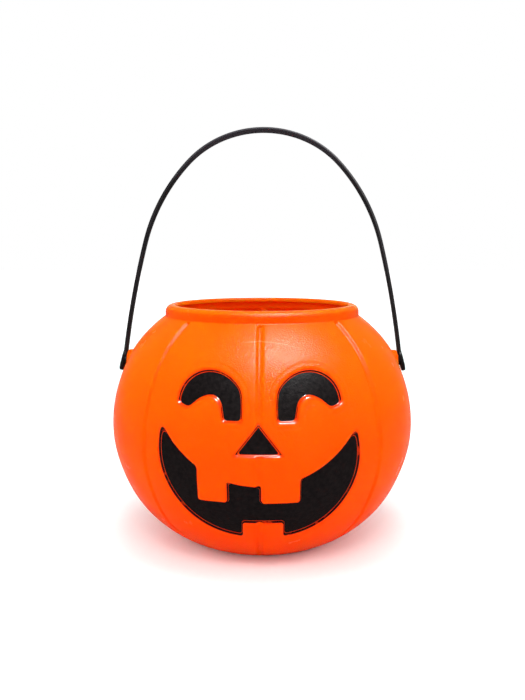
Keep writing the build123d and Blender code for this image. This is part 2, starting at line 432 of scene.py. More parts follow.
def roundCorner(before, corner, after, radius, count):
    # points of the arc that rounds a corner of the section
    p, c, n = (np.array(q, float) for q in (before, corner, after))
    a = (p - c) / np.linalg.norm(p - c)
    b = (n - c) / np.linalg.norm(n - c)
    half = acos(np.clip(a @ b, -1, 1)) / 2
    run = radius / tan(half)
    centre = c + (a + b) / np.linalg.norm(a + b) * radius / sin(half)
    start, end = c + a * run - centre, c + b * run - centre
    turn = atan2(start[0] * end[1] - start[1] * end[0], start @ end)
    made = []
    for t in np.linspace(0, turn, count):
        x, y = start[0] * cos(t) - start[1] * sin(t), start[0] * sin(t) + start[1] * cos(t)
        made.append(tuple(centre + (x, y)))
    return made


def collarSection(inset):
    # from the top of the body, up the collar and in over the lip
    r, z, nr, nz = (float(a) for a in bodySection(np.array(rootPlace - pail["rootStop"])))
    wall = pail["collarRadius"] - inset
    foot = (wall, collarFoot - inset * 0.6)
    top = (wall, rimHeight - inset)
    lip = (pail["mouthRadius"], rimHeight - inset)
    start = (r - inset * nr, z - inset * nz)
    points = roundCorner(start, foot, top, pail["collarRoot"] + inset, 7)
    side = np.linspace(points[-1][1], top[1] - pail["collarRound"] + inset, 6)[1:-1]
    points += [(wall, h) for h in side]
    points += roundCorner(foot, top, lip, pail["collarRound"] - inset, 10)
    flat = np.linspace(points[-1][0], pail["mouthRadius"] + pail["lipRound"], 5)[1:-1]
    points += [(q, lip[1]) for q in flat]
    return points


def baseSection(inset):
    # from the heel in under the foot ring and up to the pushed up middle
    arc = pail["lowerArc"] - inset
    turn = asin((pail["widestHeight"] - inset) / arc)
    heel = (pail["radius"] - pail["lowerArc"] + arc * cos(turn), inset)
    # the push up's side rises at 45 degrees, so its corners shift by the tangent of half of that
    slope = tan(radians(22.5)) * inset
    push = (pail["pushUpRadius"] + slope, pail["pushUpHeight"] + inset)
    foot = (push[0] + pail["pushUpHeight"], inset)
    tangent = (heel[0] + sin(turn), heel[1] + cos(turn))
    points = roundCorner(tangent, heel, foot, pail["heelRound"] - inset, 7)
    points += [((points[-1][0] + foot[0]) / 2, inset)]
    points += roundCorner(heel, foot, push, pail["pushUpRound"], 5)
    points += roundCorner(foot, push, (0, push[1]), pail["pushUpRound"], 5)
    points += [(q * push[0], push[1]) for q in pail["pushUpRings"]]
    return points


def ringPoints(section, angles):
    r, z = section
    return [(r * sin(a), -r * cos(a), z) for a in angles]


def slopeAt(places, distanceAt):
    # which way, and how fast, the distance grows at each place
    tiny = 0.02 * mm
    return np.stack([
        distanceAt(places + (tiny, 0)) - distanceAt(places - (tiny, 0)),
        distanceAt(places + (0, tiny)) - distanceAt(places - (0, tiny)),
    ], -1) / (2 * tiny)


def slideTo(places, distanceAt, level):
    # moves each place square to the outline onto the level, in three rounds
    leastSlope = 0.35 / mm
    for turn in range(3):
        slope = slopeAt(places, distanceAt)
        size = np.maximum((slope ** 2).sum(1), leastSlope ** 2)
        places = places + slope * ((level - distanceAt(places)) / size)[:, None]
    return places


def evenLoop(loop, step):
    # the same closed loop with its places a step apart
    closed = np.concatenate([loop, loop[:1]])
    run = np.append(0, np.cumsum(np.hypot(*np.diff(closed, axis=0).T)))
    at = np.linspace(0, run[-1], max(8, round(run[-1] / step)), endpoint=False)
    return np.stack([np.interp(at, run, closed[:, 0]), np.interp(at, run, closed[:, 1])], -1)


def walkOutline(distanceAt, start, step):
    # follows one outline round from a place near it, until it is back or has gone on too long
    mostPlaces = 4000
    place = slideTo(np.array([start]), distanceAt, 0)
    loop = [place[0]]
    while len(loop) < mostPlaces:
        slope = slopeAt(place, distanceAt)[0]
        ahead = np.array([slope[1], -slope[0]]) / np.hypot(*slope)
        place = slideTo(place + ahead * step, distanceAt, 0)
        if len(loop) > 8 and np.hypot(*(place[0] - loop[0])) < 0.75 * step:
            break
        loop.append(place[0])
    return np.array(loop)


def partLoops(name):
    # rings of places along the outline of one part, from its floor out past the dish
    def distanceAt(p):
        return partDistance((name,), *turned(p))

    x, z = outlineStarts[name]
    v = float(sectionAt(z * mm))
    r = float(bodySection(np.array(v))[0])
    start = (asin(x * mm / r) * pail["radius"], v)
    outline = evenLoop(walkOutline(distanceAt, start, 2 * face["step"]), face["step"])
    levels = [*face["floorRings"], -wallOf(name), -0.5 * wallOf(name), *face["shoulderRings"], shoulderWidth]
    if "eye" in name:
        levels += [*face["dishRings"], *(face["eyeDish"][0] + q for q in face["dishEdgeRings"])]
    loops = []
    for level in levels:
        step = face["step"] * (1 if level < face["outerFrom"] else face["outerStep"])
        loop = evenLoop(slideTo(outline, distanceAt, level), step)
        loops.append(slideTo(loop, distanceAt, level))
    return loops, levels[-1]


def borderPlaces(edgeU, rows, border):
    # places round a patch, where it meets the columns and rows of the rest
    low, high = border
    edgeV = rows[(rows >= low - 1e-9) & (rows <= high + 1e-9)]
    places = [(a, b) for a in edgeU for b in border]
    return places + [(a, b) for b in edgeV[1:-1] for a in (edgeU[0], edgeU[-1])]


def gridPlaces(across, up):
    gridU, gridV = np.meshgrid(across, up)
    return np.stack([gridU.ravel(), gridV.ravel()], -1)


def frontPlaces(angles, rows, border):
    # flat places (along the ring, up the section) for the face: outlines, groove and a plain grid
    width = face["patchAngle"] * pail["radius"]
    coarse = face["coarse"]
    low, high = border
    edgeU = angles[np.abs(angles) <= face["patchAngle"] + 1e-9] * pail["radius"]
    places = borderPlaces(edgeU, rows, border)
    grooveU = np.array(grooves["columns"][:grooves["frontColumns"]]) * mm
    grooveU = np.unique(np.concatenate([-grooveU, grooveU]))
    plain = gridPlaces(np.arange(-width + coarse, width - coarse / 2, coarse),
                       np.arange(low + coarse, high - coarse / 2, coarse))
    plain = plain[np.abs(plain[:, 0]) > face["grooveClear"]]
    inGroove = gridPlaces(grooveU, np.arange(low + coarse, high - coarse / 2, 0.9 * coarse))
    plain = np.concatenate([plain, inGroove])
    within, past = face["gridClear"]
    rings = []
    for name in faceParts:
        loops, reach = partLoops(name)
        d = partDistance((name,), *turned(plain))
        plain = plain[(d < -within) | (d > reach + past)]
        rings += loops
    places = np.concatenate([np.array(places), plain])
    edges = []
    for loop in rings:
        start = len(places)
        places = np.concatenate([places, loop])
        edges += [(start + i, start + (i + 1) % len(loop)) for i in range(len(loop))]
    return places, edges


def triangulate(places, edges=()):
    # the flat mesher wants sizes near one
    made = delaunay_2d_cdt([Vector(p) for p in places / mm], list(edges), [], 0, 1e-5)
    flat = np.array([tuple(p) for p in made[0]]) * mm
    return flat, made[2]


class Shell:
    # gathers points and faces of one mesh
    def __init__(self):
        self.points, self.faces = [], []

    def add(self, points, faces):
        start = len(self.points)
        self.points += [tuple(p) for p in points]
        self.faces += [tuple(i + start for i in f) for f in faces]


def gridFaces(rowCount, columnCount, skip=None):
    # rows of quads that close round
    faces = []
    for i in range(rowCount - 1):
        for j in range(columnCount):
            if skip is None or not skip(i, j):
                k = (j + 1) % columnCount
                faces.append((i * columnCount + j, i * columnCount + k,
                              (i + 1) * columnCount + k, (i + 1) * columnCount + j))
    return faces


def bossPlaces(angles, rows, border, side):
    # flat places round one stub: rings about the hinge axis out to the patch border
    middle = side * pi / 2
    half = boss["patchHalf"] / pail["radius"]
    edgeU = angles[np.abs(angles - middle) <= half + 1e-9] * pail["radius"]
    edge = borderPlaces(edgeU, rows, border)
    inner, outer = boss["faceRings"]
    seat = boss["seatRadius"]
    rings = [boss["holeRadius"], inner, seat, seat + boss["seatEdge"], outer]
    rings += list(boss["radius"] - boss["round"] * np.array(boss["roundRings"]))
    rings += list(boss["radius"] + boss["rootRound"] * np.array(boss["rootRings"]))
    places = []
    for ring in rings:
        for a in np.arange(0, 2 * pi, 2 * pi / boss["ringPlaces"]):
            z = boss["height"] + ring * sin(a)
            v = float(sectionAt(z))
            r = float(bodySection(np.array(v))[0])
            places.append(((middle + side * asin(ring * cos(a) / r)) * pail["radius"], v))
    return np.concatenate([np.array(edge), np.array(places)])


def outerBody(shell, angles):
    rows, frontBorder, sideBorder = spreadRows()
    patch = face["patchAngle"]
    half = boss["patchHalf"] / pail["radius"]

    def skip(i, j):
        u = angles[j] + 1e-7
        v = (rows[i] + rows[i + 1]) / 2
        front = -patch < u < patch and frontBorder[0] < v < frontBorder[1]
        side = abs(abs(u) - pi / 2) < half and sideBorder[0] < v < sideBorder[1]
        return front or side

    u, v = np.meshgrid(angles, rows)
    shell.add(outerSurface(u, v).reshape(-1, 3), gridFaces(len(rows), len(angles), skip))
    front = triangulate(*frontPlaces(angles, rows, frontBorder))
    shell.add(outerSurface(*turned(front[0])), front[1])
    for side in (1, -1):
        flat, faces = triangulate(bossPlaces(angles, rows, sideBorder, side))
        points = bossPush(outerSurface(*turned(flat)), strap["bossFace"])
        shell.add(points, faces)
    return rows, front


def addStrip(shell, rings):
    shell.add(np.concatenate(rings), gridFaces(len(rings), len(rings[0])))


def addEnds(shell, rings):
    for ring in (rings[0], rings[-1]):
        shell.add(ring, [tuple(range(len(ring)))])


def addCap(shell, ring, height):
    count = len(ring)
    points = np.concatenate([ring, [(0, 0, height)]])
    shell.add(points, [(i, (i + 1) % count, count) for i in range(count)])


def makePail():
    shell = Shell()
    angles = spreadAngles()
    rows, front = outerBody(shell, angles)
    innerRows = np.linspace(rows[-1], rows[0], pail["innerRows"])
    inside = [innerSurface(angles, np.full(len(angles), v)) for v in innerRows]
    base = [ringPoints(s, angles) for s in baseSection(0)]
    addStrip(shell, [outerSurface(angles, np.full(len(angles), rows[0]))] + base)
    addCap(shell, base[-1], pail["pushUpHeight"])
    lipTop = (pail["mouthRadius"], rimHeight)
    lipFoot = (pail["mouthRadius"], rimHeight - pail["lipDrop"])
    lipBack = (pail["mouthRadius"] + pail["wall"], lipFoot[1])
    lipRoot = (lipBack[0], rimHeight - pail["wall"])
    beside = (pail["collarRadius"], rimHeight)
    # the lip turns down into the mouth and ends in a rounded edge
    edge = roundCorner(beside, lipTop, lipFoot, pail["lipRound"], 7)
    edge += roundCorner(lipTop, lipFoot, lipBack, pail["lipEnd"], 4)
    edge += roundCorner(lipFoot, lipBack, lipRoot, pail["lipEnd"], 4) + [lipRoot]
    under = collarSection(pail["wall"])[::-1]
    rim = [ringPoints(s, angles) for s in collarSection(0) + edge + under]
    addStrip(shell, [outerSurface(angles, np.full(len(angles), rows[-1]))] + rim + inside[:1])
    addStrip(shell, inside)
    bottom = [ringPoints(s, angles) for s in baseSection(pail["wall"])]
    addStrip(shell, inside[-1:] + bottom)
    addCap(shell, bottom[-1], pail["pushUpHeight"] + pail["wall"])
    return makeObject("pail_shell", shell.points, shell.faces, pail["sharpAngle"]), front


# Paint line along the top of the recess walls, in millimetres out from the outline
paintLine = {
    "kept": (-4, 9),
    "mouth": (0.62, 0.38, 0.6),
    "rest": (0.62, 0.5, -0.2),
    "mouthReach": 5,
    "probe": 0.2,
}


def storeEdge(made):
    # keeps each outside point's distance from the face outlines for the paint and the painted shade in the
    # finish
    mesh = made.data
    count = len(mesh.vertices)
    points, normals = np.empty((count, 3)), np.empty((count, 3))
    mesh.vertices.foreach_get("co", points.ravel())
    mesh.vertices.foreach_get("normal", normals.ravel())
    u = np.arctan2(points[:, 0], -points[:, 1])
    rise = points[:, 2] - pail["widestHeight"]
    arc = np.where(rise >= 0, pail["upperArc"], pail["lowerArc"])
    turn = np.arctan2(rise, np.hypot(points[:, 0], points[:, 1]) - pail["radius"] + arc)
    outward = np.stack([np.sin(u) * np.cos(turn), -np.cos(u) * np.cos(turn), np.sin(turn)], -1)
    outside = (outward * normals).sum(1) > 0
    v = arc * turn
    most = paintLine["kept"][1]
    distance = np.where(outside, np.clip(faceDistance(u, v), *paintLine["kept"]), most)
    mesh.attributes.new("faceEdge", "FLOAT", "POINT").data.foreach_set("value", distance)
    # the paint line is rubbed off under the eyes and the nose, and wider on the mouth's upper edges
    lower, upper = ["mouth_paint"], ["left_eye_paint", "right_eye_paint", "nose_paint"]
    probe = paintLine["probe"]

    def facesUp(names):
        above, below = (partDistance(names, u, v + s * probe * mm) for s in (1, -1))
        return (above - below) / (2 * probe)

    least, more, run = paintLine["mouth"]
    onMouth = least + more * smoothStep(facesUp(lower) / run)
    full, run, rubbed = paintLine["rest"]
    onRest = full * smoothStep((facesUp(upper) + run) / run) + rubbed
    reach = np.where(partDistance(lower, u, v) < paintLine["mouthReach"], onMouth, onRest)
    mesh.attributes.new("lineReach", "FLOAT", "POINT").data.foreach_set("value", reach)


# Paint: thin films on the floors of the recesses and the foot of their walls
paint = {
    "film": 0.06 * mm,
    "gap": 0.015 * mm,
    "sharpAngle": 60,
}


def makeFilm(name, front):
    flat, faces = front
    u, v = turned(flat)
    middle = np.array([flat[list(f)].mean(0) for f in faces])
    d = partDistance((name,), *turned(middle))
    faces = [f for f, q in zip(faces, d) if q < -wallOf(name)]
    used = sorted({i for f in faces for i in f})
    place = {i: k for k, i in enumerate(used)}
    faces = [tuple(place[i] for i in f) for f in faces]
    u, v = u[used], v[used]
    depth = recessDepth(u, v)
    shell = Shell()
    shell.add(placeOnBody(u, v, depth - paint["gap"] - paint["film"]), faces)
    shell.add(placeOnBody(u, v, depth - paint["gap"]), [f[::-1] for f in faces])
    count = len(used)
    edges = {(f[i], f[(i + 1) % 3]) for f in faces for i in range(3)}
    shell.faces += [(b, a, a + count, b + count) for a, b in edges if (b, a) not in edges]
    return makeObject(name.replace("_paint", "_film"), shell.points, shell.faces, paint["sharpAngle"])


# Handle: a flat strap in one leaning plane, with a rounded tab, hub and barbed peg at each end
strap = {
    "lean": radians(20),
    "rise": 184 * mm,
    "crownRadius": 75.62 * mm,
    "crownAngle": radians(50),
    "shoulderRadius": 145 * mm,
    "shoulderAngle": radians(29),
    "width": 7.0 * mm,
    "thickness": 1.6 * mm,
    "inward": (0.2 * mm, 0.6 * mm),
    "inwardFade": (0.6, 0.35),
    "edgeRound": 0.5 * mm,
    "tabMiddle": 101.78 * mm,
    "tabTilt": radians(12),
    "tabLength": 14.8 * mm,
    "tabWidth": 8.4 * mm,
    "bossFace": 98.91 * mm,
    "hubRadius": 3.2 * mm,
    "hubGap": 0.3 * mm,
    "pegRadius": 2.4 * mm,
    "headRadius": 3.0 * mm,
    "headLength": 3.0 * mm,
    "headGap": 0.3 * mm,
    "headTaper": (0.55, 0.64),
    "turnedEdge": 0.25 * mm,
    # mesh: steps along the strap, closer towards the tab's round end, and round the turned pieces
    "step": 1.3 * mm,
    "tabEven": 4 * mm,
    "tabSteps": (3.4, 2.8, 2.2, 1.7, 1.2, 0.8, 0.45, 0.2, 0.05),
    "cornerPoints": 5,
    "turnedPoints": 40,
    "sharpAngle": 50,
}


def strapPath():
    # right half of the arch from its top to the tab's foot: places and headings in its plane
    place, heading = np.array([0, strap["rise"]]), 0.0
    places, headings = [place], [heading]

    def bend(radius, angle):
        nonlocal place, heading
        count = max(2, round(abs(radius * angle) / strap["step"]))
        turn = angle / count
        for i in range(count):
            middle = heading + turn / 2
            chord = 2 * radius * sin(turn / 2)
            place = place + chord * np.array([cos(middle), -sin(middle)])
            heading += turn
            places.append(place)
            headings.append(heading)

    bend(strap["crownRadius"], strap["crownAngle"])
    bend(strap["shoulderRadius"], strap["shoulderAngle"])
    tilt = strap["tabTilt"]
    ahead = np.array([sin(tilt), -cos(tilt)])
    tabTop = np.array([strap["tabMiddle"], 0]) - strap["tabLength"] / 2 * ahead
    run = tabTop - place
    swing = 2 * (atan2(-run[1], run[0]) - heading)
    bend(hypot(*run) / 2 / sin(swing / 2), swing)
    even = np.arange(strap["step"] / 2, strap["tabLength"] - strap["tabEven"], strap["step"] / 2)
    for q in np.append(even, strap["tabLength"] - np.array(strap["tabSteps"]) * mm):
        places.append(tabTop + ahead * q)
        headings.append(pi / 2 - tilt)
    return np.array(places), np.array(headings), tabTop


def strapHalfWidth(place, tabTop):
    # the strap's own width, and the slot shaped tab's where that is wider or ends
    tilt = strap["tabTilt"]
    along = (place - tabTop) @ np.array([sin(tilt), -cos(tilt)])
    end = strap["tabWidth"] / 2
    if along <= 0:
        return strap["width"] / 2
    if along < end:
        return max(strap["width"] / 2, sqrt(end ** 2 - (end - along) ** 2))
    left = strap["tabLength"] - along
    return end if left >= end else sqrt(max(end ** 2 - (end - left) ** 2, 0))


def strapRing(place, heading, half, side):
    # rounded rectangle across the strap
    thick = strap["thickness"] / 2
    crown, leg = strap["inward"]
    start, run = strap["inwardFade"]
    inward = leg + (crown - leg) * smoothStep((place[1] / strap["rise"] - start) / run)
    edge = min(strap["edgeRound"], half * 0.9)
    points = []
    for cx, cy, first in ((1, 1, 0), (-1, 1, 90), (-1, -1, 180), (1, -1, 270)):
        low = inward if cy < 0 else 0
        for a in np.radians(np.linspace(first, first + 90, strap["cornerPoints"])):
            points.append((cx * (half - edge) + edge * cos(a),
                           cy * (thick - edge) + edge * sin(a) - low))
    outward = np.array([sin(heading), cos(heading)])
    lean = strap["lean"]
    made = []
    for across, out in points:
        x, s = place + outward * out
        made.append((side * x, s * sin(lean) - across * cos(lean),
                     boss["height"] + s * cos(lean) + across * sin(lean)))
    return made


def addLathe(shell, section, side):
    # turned piece about the hinge axis; the section runs outward as (x, radius)
    turns = np.linspace(0, 2 * pi, strap["turnedPoints"], endpoint=False)
    rings = []
    for x, r in section:
        rings.append([(side * x, r * cos(a), boss["height"] + r * sin(a)) for a in turns])
    addStrip(shell, rings)
    addEnds(shell, rings)


def makeHandle():
    shell = Shell()
    places, headings, tabTop = strapPath()
    halves = [strapHalfWidth(p, tabTop) for p in places]
    stations = list(zip(places, headings, halves))
    right, left = ([strapRing(*station, side) for station in stations] for side in (1, -1))
    rings = left[:0:-1] + right
    addStrip(shell, rings)
    addEnds(shell, rings)
    # the barbed head behind the boss, the peg through it and the hub in front
    back = strap["bossFace"] - pail["wall"] - strap["headGap"]
    tip = back - strap["headLength"]
    seat = strap["bossFace"] + strap["hubGap"]
    soft = strap["turnedEdge"]
    narrow, wider = strap["headTaper"]
    section = [
        (tip, strap["headRadius"] * narrow),
        (tip + soft, strap["headRadius"] * wider),
        (back - soft, strap["headRadius"]),
        (back, strap["headRadius"] - soft),
        (back, strap["pegRadius"]),
        (seat, strap["pegRadius"]),
        (seat, strap["hubRadius"] - soft),
        (seat + soft, strap["hubRadius"]),
        (strap["tabMiddle"], strap["hubRadius"]),
    ]
    for side in (1, -1):
        addLathe(shell, section, side)
    return makeObject("strap_handle", shell.points, shell.faces, strap["sharpAngle"])


pailShell, front = makePail()
storeEdge(pailShell)
films = {name: makeFilm(name, front) for name in faceParts}
strapHandle = makeHandle()

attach(pailShell, "pail")
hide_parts("pail_body")
for name, film in films.items():
    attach(film, "pail")
    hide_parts(name)
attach(strapHandle, "handle")
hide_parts("handle")
print("pieces placed")


# Materials; most values of a noise lie in the middle tones
midTones = (0.3, 0.7)


def newMaterial(name):
    material = bpy.data.materials.new(name)
    material.use_nodes = True
    tree = material.node_tree
    return material, tree, tree.nodes["Principled BSDF"]


def feed(tree, node, values):
    # an input takes another node's output, or a value of its own
    for key, value in values.items():
        if isinstance(value, bpy.types.NodeSocket):
            tree.links.new(value, node.inputs[key])
        else:
            node.inputs[key].default_value = value


def addNode(tree, kind, values=None, **settings):
    node = tree.nodes.new("ShaderNode" + kind)
    for key, value in settings.items():
        setattr(node, key, value)
    feed(tree, node, values or {})
    return node


def addCoords(tree, kind="Object"):
    # coordinates, whole and split by axis
    coords = addNode(tree, "TexCoord").outputs[kind]
    split = addNode(tree, "SeparateXYZ", {0: coords})
    return coords, [split.outputs[axis] for axis in "XYZ"]


def stored(tree, name):
    return addNode(tree, "Attribute", attribute_name=name).outputs["Fac"]


def mapped(tree, source, fromMin, fromMax, toMin=0, toMax=1, smooth=False):
    values = {"Value": source, "From Min": fromMin, "From Max": fromMax, "To Min": toMin, "To Max": toMax}
    kind = "SMOOTHSTEP" if smooth else "LINEAR"
    return addNode(tree, "MapRange", values, interpolation_type=kind).outputs["Result"]


def combined(tree, operation, first, second=0.0):
    return addNode(tree, "Math", {0: first, 1: second}, operation=operation).outputs[0]


def product(tree, first, *others):
    for other in others:
        first = combined(tree, "MULTIPLY", first, other)
    return first


def between(tree, low, rise, high, fall):
    # 1 from where the first source has risen to where the second one starts to fall
    return product(tree, mapped(tree, low, *rise, 0, 1, True), mapped(tree, high, *fall, 1, 0, True))


def blend(tree, amount, first, second):
    return addNode(tree, "Mix", {0: amount, 6: first, 7: second}, data_type="RGBA").outputs[2]


def noise(tree, coords, scale, detail, stretch=None):
    if stretch:
        coords = addNode(tree, "Mapping", {"Vector": coords, "Scale": stretch}).outputs[0]
    values = {"Vector": coords, "Scale": scale, "Detail": detail}
    return addNode(tree, "TexNoise", values).outputs["Fac"]


def bumped(tree, skin, distance, strength):
    values = {"Height": skin, "Distance": distance, "Strength": strength}
    return addNode(tree, "Bump", values).outputs["Normal"]


# Orange plastic: metres, across the face's outlines millimetres; noises are scale and detail
orange = {
    # spans of four end with the two values that they map to
    # low, middle and top are colours by height: the redder, darker low one is painted shade, the yellower
    # top one painted light from above
    "low": (1.0, 0.048, 0.0006, 1),
    "middle": (1.0, 0.073, 0.0008, 1),
    "top": (1.0, 0.114, 0.0011, 1),
    "shadeLowRise": (0.012, 0.075),
    "shadeTopRise": (0.075, 0.150),
    "clouds": (16.0, 3.0),
    "cloudShift": (-0.006, 0.006),
    # the redder collar colour is painted shade
    "collar": (1.0, 0.074, 0.0009, 1),
    "collarShadeEdge": (-0.001, 0.0005),
    # the lighter inside colour is painted light where the lip shades the mouth
    "inside": (1.0, 0.130, 0.0014, 1),
    "litInsideEdge": (0.0010, 0.0004),
    "litInsideFade": 0.03,
    # the darker red of the recess walls and of the band round them is painted shade
    "wall": (0.92, 0.045, 0.001, 1),
    "wallShadeRise": (-1.2, -0.7),
    "wallShadeFall": (0.2, 2.2),
    "line": (0.006, 0.004, 0.004, 1),
    "lineRise": (-0.16, -0.06),
    "lineFall": (-0.12, 0.10),
    "breaks": (150.0, 3.0),
    "broken": (0.30, 0.44, 0.5, 1.0),
    # a pale line over the forehead: painted highlight
    "paintedGlint": (1.0, 0.30, 0.12, 1),
    "glintArch": (0.15142, -0.0124, -6.22),
    "glintAcross": (0, 0.0006, 0.5, 0),
    "glintMiddle": 0.006,
    "glintEnds": (0.010, 0.019, 1, 0),
    "glintFront": (-0.05, -0.04, 1, 0),
    "roughness": (0.17, 0.28),
    "roughPatches": (70.0, 4.0),
    "peel": (1000.0, 2.0, (1.0, 1.0, 1.3)),
    "grain": (2600.0, 2.0),
    "grainShare": 0.3,
    "skinDepth": 0.0003,
    "polished": (0.8, 3.2, 0.12, 1.0),
    "thinner": (0.060, 0.088, 1.0, 0.12),
    "coatRise": (-1.6, -0.8),
    "coatFall": (1.2, 3.0),
    "edgeCoat": 0.08,
    "coatRoughness": 0.14,
    "ior": 1.08,
    "glow": 0.75,
    "glowReach": (0.0060, 0.0007, 0.0002),
}


def bodyColours(tree, coords, axes):
    # yellower towards the top, redder towards the base: painted shade for light that falls from above, its
    # level shifted at random in slow clouds
    x, y, height = axes
    cloud = mapped(tree, noise(tree, coords, *orange["clouds"]), *midTones, *orange["cloudShift"])
    level = combined(tree, "ADD", height, cloud)
    lower = mapped(tree, level, *orange["shadeLowRise"], 0, 1, True)
    upper = mapped(tree, level, *orange["shadeTopRise"], 0, 1, True)
    colour = blend(tree, lower, orange["low"], orange["middle"])
    colour = blend(tree, upper, colour, orange["top"])
    # the collar is painted redder: painted shade
    collarShade = mapped(tree, height, *(collarFoot + q for q in orange["collarShadeEdge"]))
    colour = blend(tree, collarShade, colour, orange["collar"])
    # the lip and the inner side of the collar are painted lighter: painted light for the inside that the lip
    # shades
    squares = [combined(tree, "POWER", q, 2.0) for q in (x, y)]
    around = combined(tree, "SQRT", combined(tree, "ADD", *squares))
    within = mapped(tree, around, *(pail["collarRadius"] - q for q in orange["litInsideEdge"]), 1, 0)
    above = mapped(tree, height, collarFoot - orange["litInsideFade"], collarFoot)
    return blend(tree, product(tree, within, above), colour, orange["inside"])


def faceShadeAndPaintLine(tree, coords, edge, colour):
    # darker red on the face's recess walls and in a band round their edges: painted shade; and the broken
    # paint line along their top edge
    wall = between(tree, edge, orange["wallShadeRise"], edge, orange["wallShadeFall"])
    colour = blend(tree, wall, colour, orange["wall"])
    past = combined(tree, "SUBTRACT", edge, stored(tree, "lineReach"))
    line = between(tree, edge, orange["lineRise"], past, orange["lineFall"])
    broken = mapped(tree, noise(tree, coords, *orange["breaks"]), *orange["broken"], True)
    return blend(tree, product(tree, line, broken), colour, orange["line"])


def foreheadGlint(tree, axes, colour):
    # one faint pale line curves over the forehead: a painted highlight along a fine mould line
    across, depth, height = axes
    rise, slope, bend = orange["glintArch"]
    steepness = combined(tree, "ADD", product(tree, across, bend), slope)
    arch = combined(tree, "ADD", product(tree, across, steepness), rise)
    off = combined(tree, "ABSOLUTE", combined(tree, "SUBTRACT", height, arch))
    along = combined(tree, "ABSOLUTE", combined(tree, "SUBTRACT", across, orange["glintMiddle"]))
    paintedGlint = product(tree, mapped(tree, off, *orange["glintAcross"], True),
                      mapped(tree, along, *orange["glintEnds"], True),
                      mapped(tree, depth, *orange["glintFront"]))
    return blend(tree, paintedGlint, colour, orange["paintedGlint"])


def pailPlastic():
    material, tree, shader = newMaterial("orange_plastic")
    coords, axes = addCoords(tree)
    edge = stored(tree, "faceEdge")
    colour = faceShadeAndPaintLine(tree, coords, edge, bodyColours(tree, coords, axes))
    patches = noise(tree, coords, *orange["roughPatches"])
    # orange peel with a finer moulded grain on it
    grain = product(tree, noise(tree, coords, *orange["grain"]), orange["grainShare"])
    skin = combined(tree, "ADD", noise(tree, coords, *orange["peel"]), grain)
    # the grain is polished off along the face's edges and thins out to the sides
    aside = combined(tree, "ABSOLUTE", axes[0])
    strength = product(tree, mapped(tree, edge, *orange["polished"], True),
                          mapped(tree, aside, *orange["thinner"], True))
    # the rubbed edges of the face shine more than the grained skin
    shine = between(tree, edge, orange["coatRise"], edge, orange["coatFall"])
    feed(tree, shader, {
        "Base Color": foreheadGlint(tree, axes, colour),
        "Roughness": mapped(tree, patches, *midTones, *orange["roughness"]),
        "Normal": bumped(tree, skin, orange["skinDepth"], strength),
        "Coat Weight": mapped(tree, shine, 0, 1, 0, orange["edgeCoat"]),
        "Coat Roughness": orange["coatRoughness"],
        "IOR": orange["ior"],
        "Subsurface Weight": orange["glow"],
        "Subsurface Radius": orange["glowReach"],
        "Subsurface Scale": 1.0,
    })
    return material


black = {
    "colour": (0.004, 0.0032, 0.0034, 1),
    "worn": (0.009, 0.0065, 0.0065, 1),
    "wear": (420.0, 4.0),
    "roughness": (0.32, 0.48),
    "skin": (900.0, 2.0),
    "grain": (2300.0, 2.0),
    "grainShare": 0.5,
    "skinDepth": 0.0002,
    "skinStrength": 0.8,
    "ior": 1.08,
}


def facePaint():
    material, tree, shader = newMaterial("black_paint")
    coords = addNode(tree, "TexCoord").outputs["Object"]
    wear = noise(tree, coords, *black["wear"])
    worn = mapped(tree, wear, *midTones)
    grain = product(tree, noise(tree, coords, *black["grain"]), black["grainShare"])
    skin = combined(tree, "ADD", noise(tree, coords, *black["skin"]), grain)
    feed(tree, shader, {
        "Base Color": blend(tree, worn, black["colour"], black["worn"]),
        "Roughness": mapped(tree, wear, *midTones, *black["roughness"]),
        "Normal": bumped(tree, skin, black["skinDepth"], black["skinStrength"]),
        "IOR": black["ior"],
    })
    return material


grip = {
    "colour": (0.006, 0.0052, 0.006, 1),
    "pale": (0.011, 0.0095, 0.0108, 1),
    "clouds": (90.0, 4.0),
    # the paler, bluer crown colour is a painted reflection
    "crown": (0.026, 0.024, 0.029, 1),
    "crownSheenRise": (0.250, 0.290),
    "roughness": (0.30, 0.44),
    "skin": (700.0, 2.0),
    "skinDepth": 0.00005,
    "skinStrength": 0.15,
    "ior": 1.06,
}


def handlePlastic():
    material, tree, shader = newMaterial("black_plastic")
    coords, axes = addCoords(tree)
    cloud = noise(tree, coords, *grip["clouds"])
    colour = blend(tree, mapped(tree, cloud, *midTones), grip["colour"], grip["pale"])
    # paler and bluer towards the top: a painted reflection of the light above on the crown
    crownSheen = mapped(tree, axes[2], *grip["crownSheenRise"], 0, 1, True)
    skin = noise(tree, coords, *grip["skin"])
    feed(tree, shader, {
        "Base Color": blend(tree, crownSheen, colour, grip["crown"]),
        "Roughness": mapped(tree, cloud, *midTones, *grip["roughness"]),
        "Normal": bumped(tree, skin, grip["skinDepth"], grip["skinStrength"]),
        "IOR": grip["ior"],
    })
    return material


pailShell.data.materials.append(pailPlastic())
blackPaint = facePaint()
for film in films.values():
    film.data.materials.append(blackPaint)
strapHandle.data.materials.append(handlePlastic())
print("materials ready")


# Stage: a white floor and a white surround, both dimmer in the gloss, and soft lamps
stage = {
    "floorHalf": 6.0,
    "floorColour": (0.86, 0.86, 0.86, 1),
    "floorGloss": (0.45, 0.45, 0.45, 1),
    "floorSeen": (0.92, 1.06, 1.06, 1),
    "floorFar": (1.76, 1.72, 1.72, 1),
    "floorFade": (0.2, 2.1),
    "floorRoughness": 0.9,
    "floorSpecular": 0.05,
    "skyColour": (1, 1, 1, 1),
    "skyLevels": (0.48, 0.66),
    "backdropGain": 2.0,
    "rightGain": (0.0, 0.5, 1.0, 1.6),
    # place from the front of the room to its back, and level there
    "roomSteps": (
        (0.0, 0.03), (0.50, 0.05), (0.80, 0.07), (0.88, 0.14), (0.935, 0.32),
        (0.962, 0.22), (0.975, 0.08), (0.988, 0.8), (1.0, 1.0),
    ),
}


